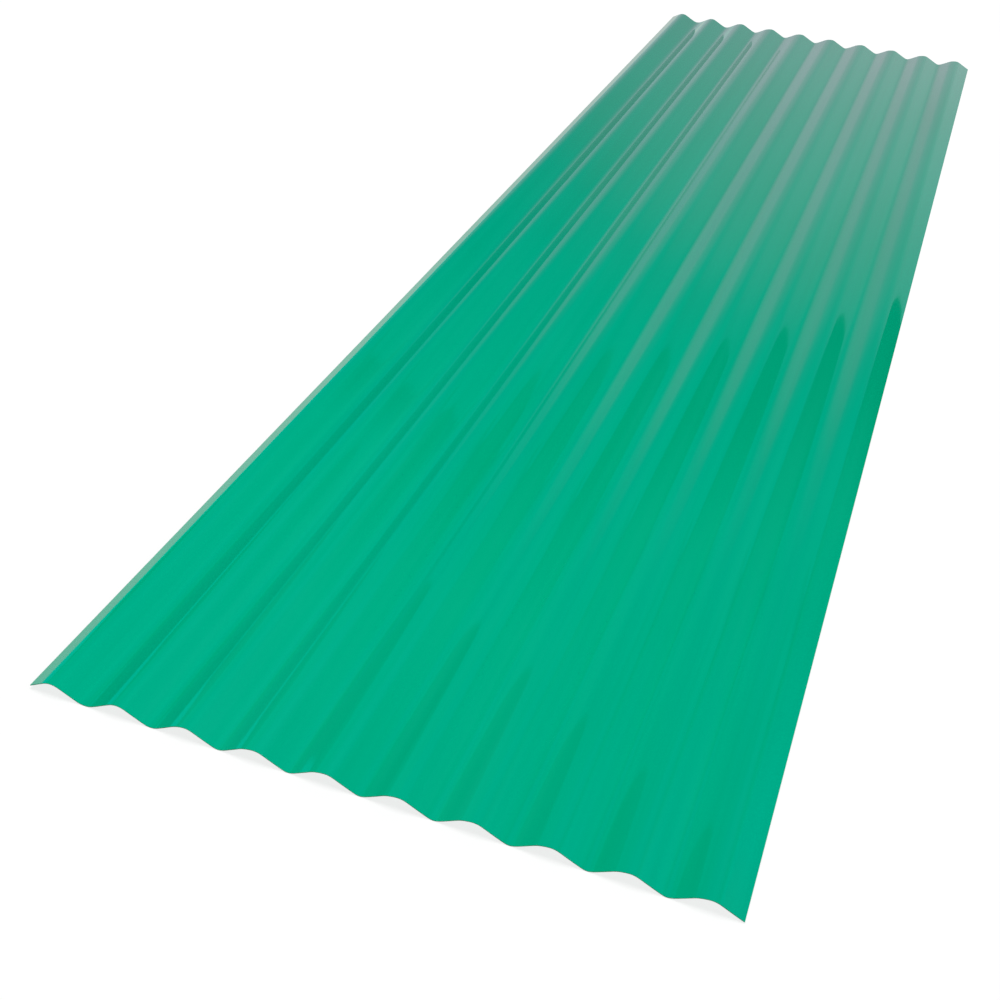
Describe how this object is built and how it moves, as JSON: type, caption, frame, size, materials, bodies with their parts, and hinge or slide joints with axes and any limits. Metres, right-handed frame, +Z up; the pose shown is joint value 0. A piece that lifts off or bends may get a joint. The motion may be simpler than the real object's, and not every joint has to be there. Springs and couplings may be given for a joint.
{
  "type": "corrugated pvc sheet",
  "caption": "Corrugated roofing and cladding sheet in rigid PVC, with even round waves that run its whole length and square-cut ends",
  "frame": {"origin": "Centre of the sheet's outline, on the plane that its troughs lie on", "axes": "+X across the waves, from the long edge that lies nearer its first crest, +Y along the waves, +Z up"},
  "size_m": [0.6604, 2.4384, 0.014],
  "materials": {
    "green_pvc": "gloss, as extruded"
  },
  "bodies": {
    "root": {"corrugated_sheet": "green_pvc"}
  },
  "joints": []
}
